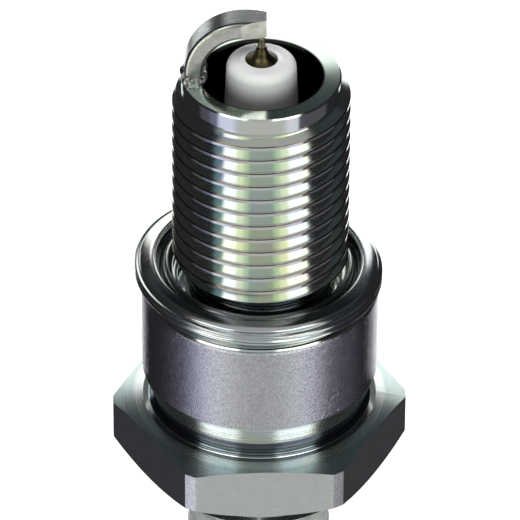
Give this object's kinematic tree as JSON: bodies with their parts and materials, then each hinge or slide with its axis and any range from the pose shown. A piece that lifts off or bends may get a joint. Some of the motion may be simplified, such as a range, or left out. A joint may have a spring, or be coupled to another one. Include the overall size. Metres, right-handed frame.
{
  "type": "spark plug",
  "caption": "Resistor spark plug with M14 thread, folded captive gasket, hexagon, ribbed insulator, fine-wire centre electrode and tapered ground strap.",
  "frame": {"origin": "centre of the gasket's sealing face, on the plug's axis", "axes": "+Z along the plug's axis towards the firing end; the ground electrode stands on the -X side and its strap reaches towards +X"},
  "size_m": [0.0234, 0.0212, 0.0758],
  "materials": {
    "plated_steel": "bright nickel or zinc plating on turned steel, satin on the barrel",
    "nickel_alloy": "drawn nickel alloy strap, lightly brushed",
    "plated_gasket": "bright plated folded sheet steel",
    "glazed_ceramic": "white alumina, glossy glaze on the terminal end",
    "bare_steel": "plain drawn steel",
    "talc": "pressed talc powder",
    "dark_nickel": "heat-tinted bronze brown nickel alloy",
    "copper": "bare copper",
    "fine_wire": "hard noble metal wire",
    "glass_seal": "fused copper glass",
    "resistor_compound": "carbon and glass composition",
    "plated_nut": "bright plated steel"
  },
  "bodies": {
    "plug": {"metal_shell": "plated_steel", "ground_electrode": "nickel_alloy", "ground_electrode_weld": "nickel_alloy", "insulator": "glazed_ceramic", "packing_washer": "bare_steel", "lower_packing_ring": "bare_steel", "upper_packing_ring": "bare_steel", "talc_filler": "talc", "centre_electrode": "dark_nickel", "copper_core": "copper", "fine_wire_tip": "fine_wire", "tip_weld_bead": "dark_nickel", "lower_glass_seal": "glass_seal", "resistor": "resistor_compound", "upper_glass_seal": "glass_seal", "terminal_stud": "bare_steel"},
    "gasket": {"gasket": "plated_gasket"},
    "terminal_nut": {"terminal_nut": "plated_nut"}
  },
  "joints": [
    {"name": "gasket_spin", "type": "hinge", "parent": "plug", "child": "gasket", "pos_m": [0, 0, 0], "axis": [0, 0, 1], "continuous": true},
    {"name": "terminal_nut_off", "type": "slide", "parent": "plug", "child": "terminal_nut", "axis": [0, 0, -1], "range_m": [0, 0.009]}
  ]
}
